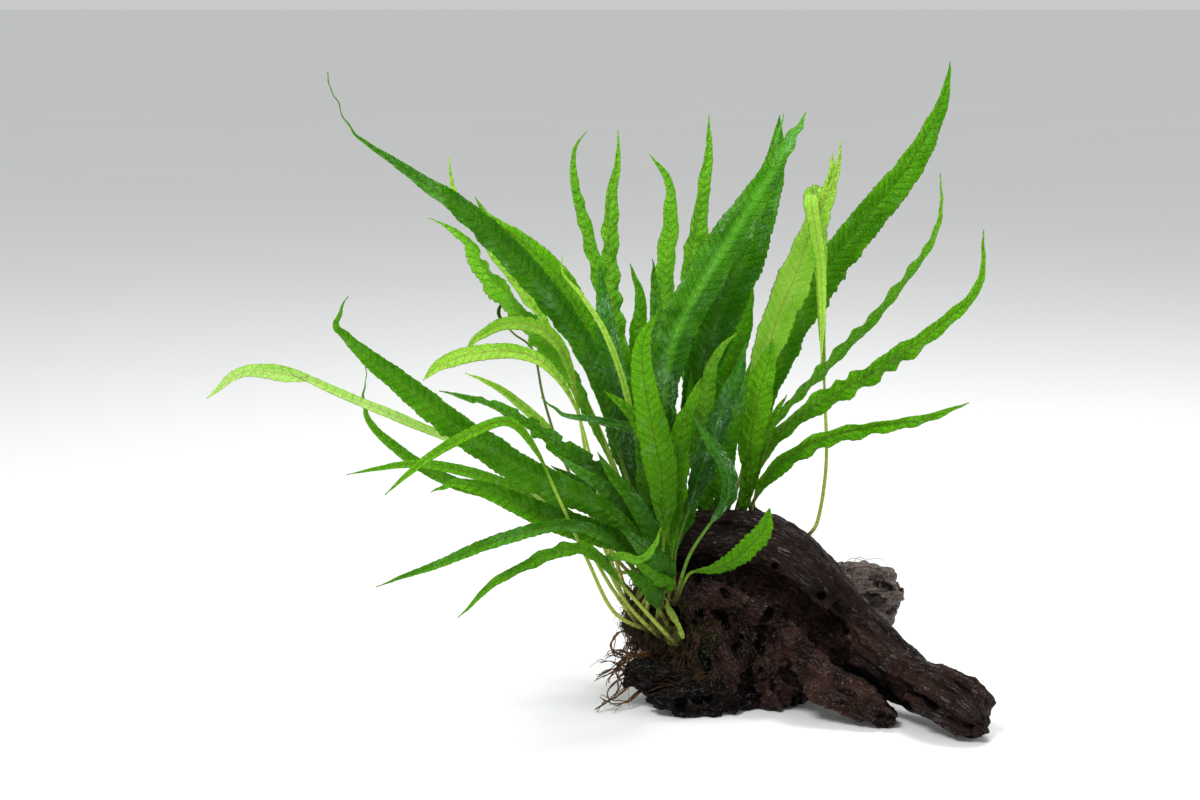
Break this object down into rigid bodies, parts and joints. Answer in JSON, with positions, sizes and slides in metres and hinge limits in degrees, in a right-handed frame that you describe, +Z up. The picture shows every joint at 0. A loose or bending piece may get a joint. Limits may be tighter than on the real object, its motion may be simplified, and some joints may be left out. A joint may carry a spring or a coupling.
{
  "type": "java fern on driftwood",
  "caption": "Narrow-leaved aquarium fern whose creeping stems grip a forked piece of dark driftwood; stands on the wood's flat foot as a planted tank ornament.",
  "frame": {"origin": "middle of the flat foot under the wood's lower trunk", "axes": "+X to the right along the wood's long arm as seen from the front, +Y away from the front, +Z up"},
  "size_m": [0.3475, 0.1666, 0.2831],
  "materials": {
    "wood_dark": "satin",
    "wood_brown": "matte",
    "rhizome_green": "satin",
    "root_brown": "matte",
    "lime": "satin",
    "light": "satin",
    "bright": "satin",
    "mid": "satin",
    "dark": "satin",
    "wet": "gloss",
    "coil": "satin",
    "dead": "matte"
  },
  "bodies": {
    "root": {"driftwood_lower_trunk": "wood_brown", "driftwood_hump": "wood_dark", "driftwood_long_arm": "wood_dark", "driftwood_short_fork": "wood_brown", "driftwood_back_stub": "wood_brown", "driftwood_left_lobe": "wood_dark", "driftwood_foot_lobe": "wood_dark", "root_mat": "root_brown", "rhizome_front": "rhizome_green", "rhizome_offshoot": "rhizome_green", "rhizome_back": "rhizome_green", "frond_low_left_short": "mid", "frond_low_left_ruffled": "mid", "frond_crescent": "light", "frond_left_broad": "mid", "frond_bent": "bright", "frond_left_hooked": "dark", "frond_far_left_pale": "lime", "frond_glossy_middle": "wet", "frond_dark_thread": "wet", "frond_nibbled": "dark", "frond_arch_lower": "lime", "frond_thin_strip": "lime", "frond_left_long": "dark", "frond_arch_upper": "lime", "frond_upright_wet": "wet", "frond_left_serrated": "bright", "frond_narrow_lime": "lime", "frond_left_slender": "mid", "frond_upright_dark": "dark", "frond_left_wavy": "bright", "fiddlehead": "coil", "frond_upright_curled": "light", "frond_left_young": "lime", "frond_upright_pointed": "mid", "frond_wiry_tip": "mid", "frond_upright_curved": "light", "frond_upright_light": "light", "frond_small_dark": "dark", "frond_over_wood": "mid", "frond_hooked": "wet", "frond_small_left": "bright", "frond_right_dark": "wet", "frond_front_right": "bright", "frond_front_bright": "bright", "frond_broad_glossy": "wet", "frond_broad_dark": "dark", "frond_back_upright": "light", "frond_right_narrow": "light", "frond_back_small": "mid", "frond_right_tall": "bright", "stem_dead_brown": "dead", "frond_pale_broad": "lime", "frond_rounded": "bright", "frond_right_long": "mid", "frond_right_low": "bright", "frond_right_grey": "mid", "frond_right_arched": "bright", "stem_dead_black": "dead", "frond_folded_top": "lime"}
  },
  "joints": []
}
